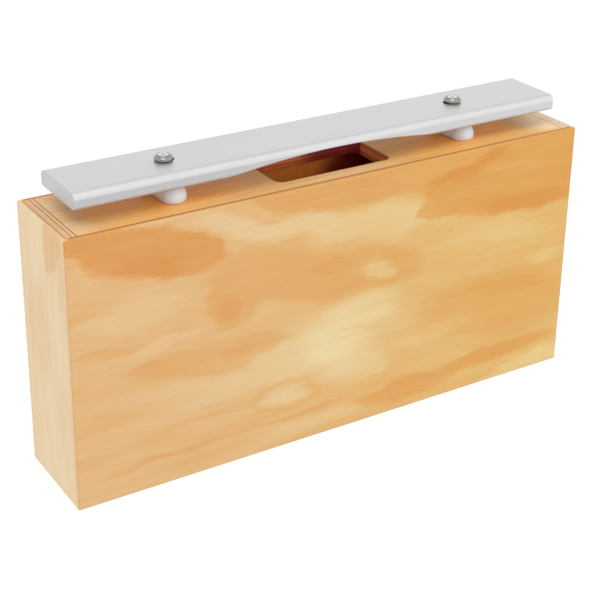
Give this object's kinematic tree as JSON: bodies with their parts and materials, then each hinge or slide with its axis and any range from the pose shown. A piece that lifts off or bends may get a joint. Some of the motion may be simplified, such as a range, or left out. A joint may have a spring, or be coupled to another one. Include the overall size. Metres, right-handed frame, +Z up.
{
  "type": "resonator bar",
  "caption": "Tuned aluminium bar that floats on rubber supports over a tall, narrow plywood resonator box with a sound slot under the bar.",
  "frame": {"origin": "middle of the underside of the box", "axes": "+X along the bar to the right as seen from the front, +Y from the front of the box to its back, +Z up"},
  "size_m": [0.36, 0.067, 0.1955],
  "materials": {
    "satin_aluminium": "satin, drawn along its length",
    "white_rubber": "soft moulded, semi-matt",
    "grey_rubber": "matt moulded",
    "bright_steel": "nickel plated",
    "face_wood": "rotary-cut pine plywood, clear satin lacquer",
    "end_wood": "pine plywood, clear satin lacquer"
  },
  "bodies": {
    "box": {"top_panel": "face_wood", "bottom_panel": "face_wood", "front_panel": "face_wood", "back_panel": "face_wood", "left_end_panel": "end_wood", "right_end_panel": "end_wood", "left_rubber_support": "white_rubber", "right_rubber_support": "white_rubber", "left_flanged_sleeve": "grey_rubber", "right_flanged_sleeve": "grey_rubber", "left_cup_washer": "bright_steel", "right_cup_washer": "bright_steel", "left_screw": "bright_steel", "right_screw": "bright_steel"},
    "bar": {"sound_bar": "satin_aluminium"}
  },
  "joints": [
    {"name": "bar_lift", "type": "slide", "parent": "box", "child": "bar", "axis": [0, 0, 1], "range_m": [0, 0.0004]}
  ]
}
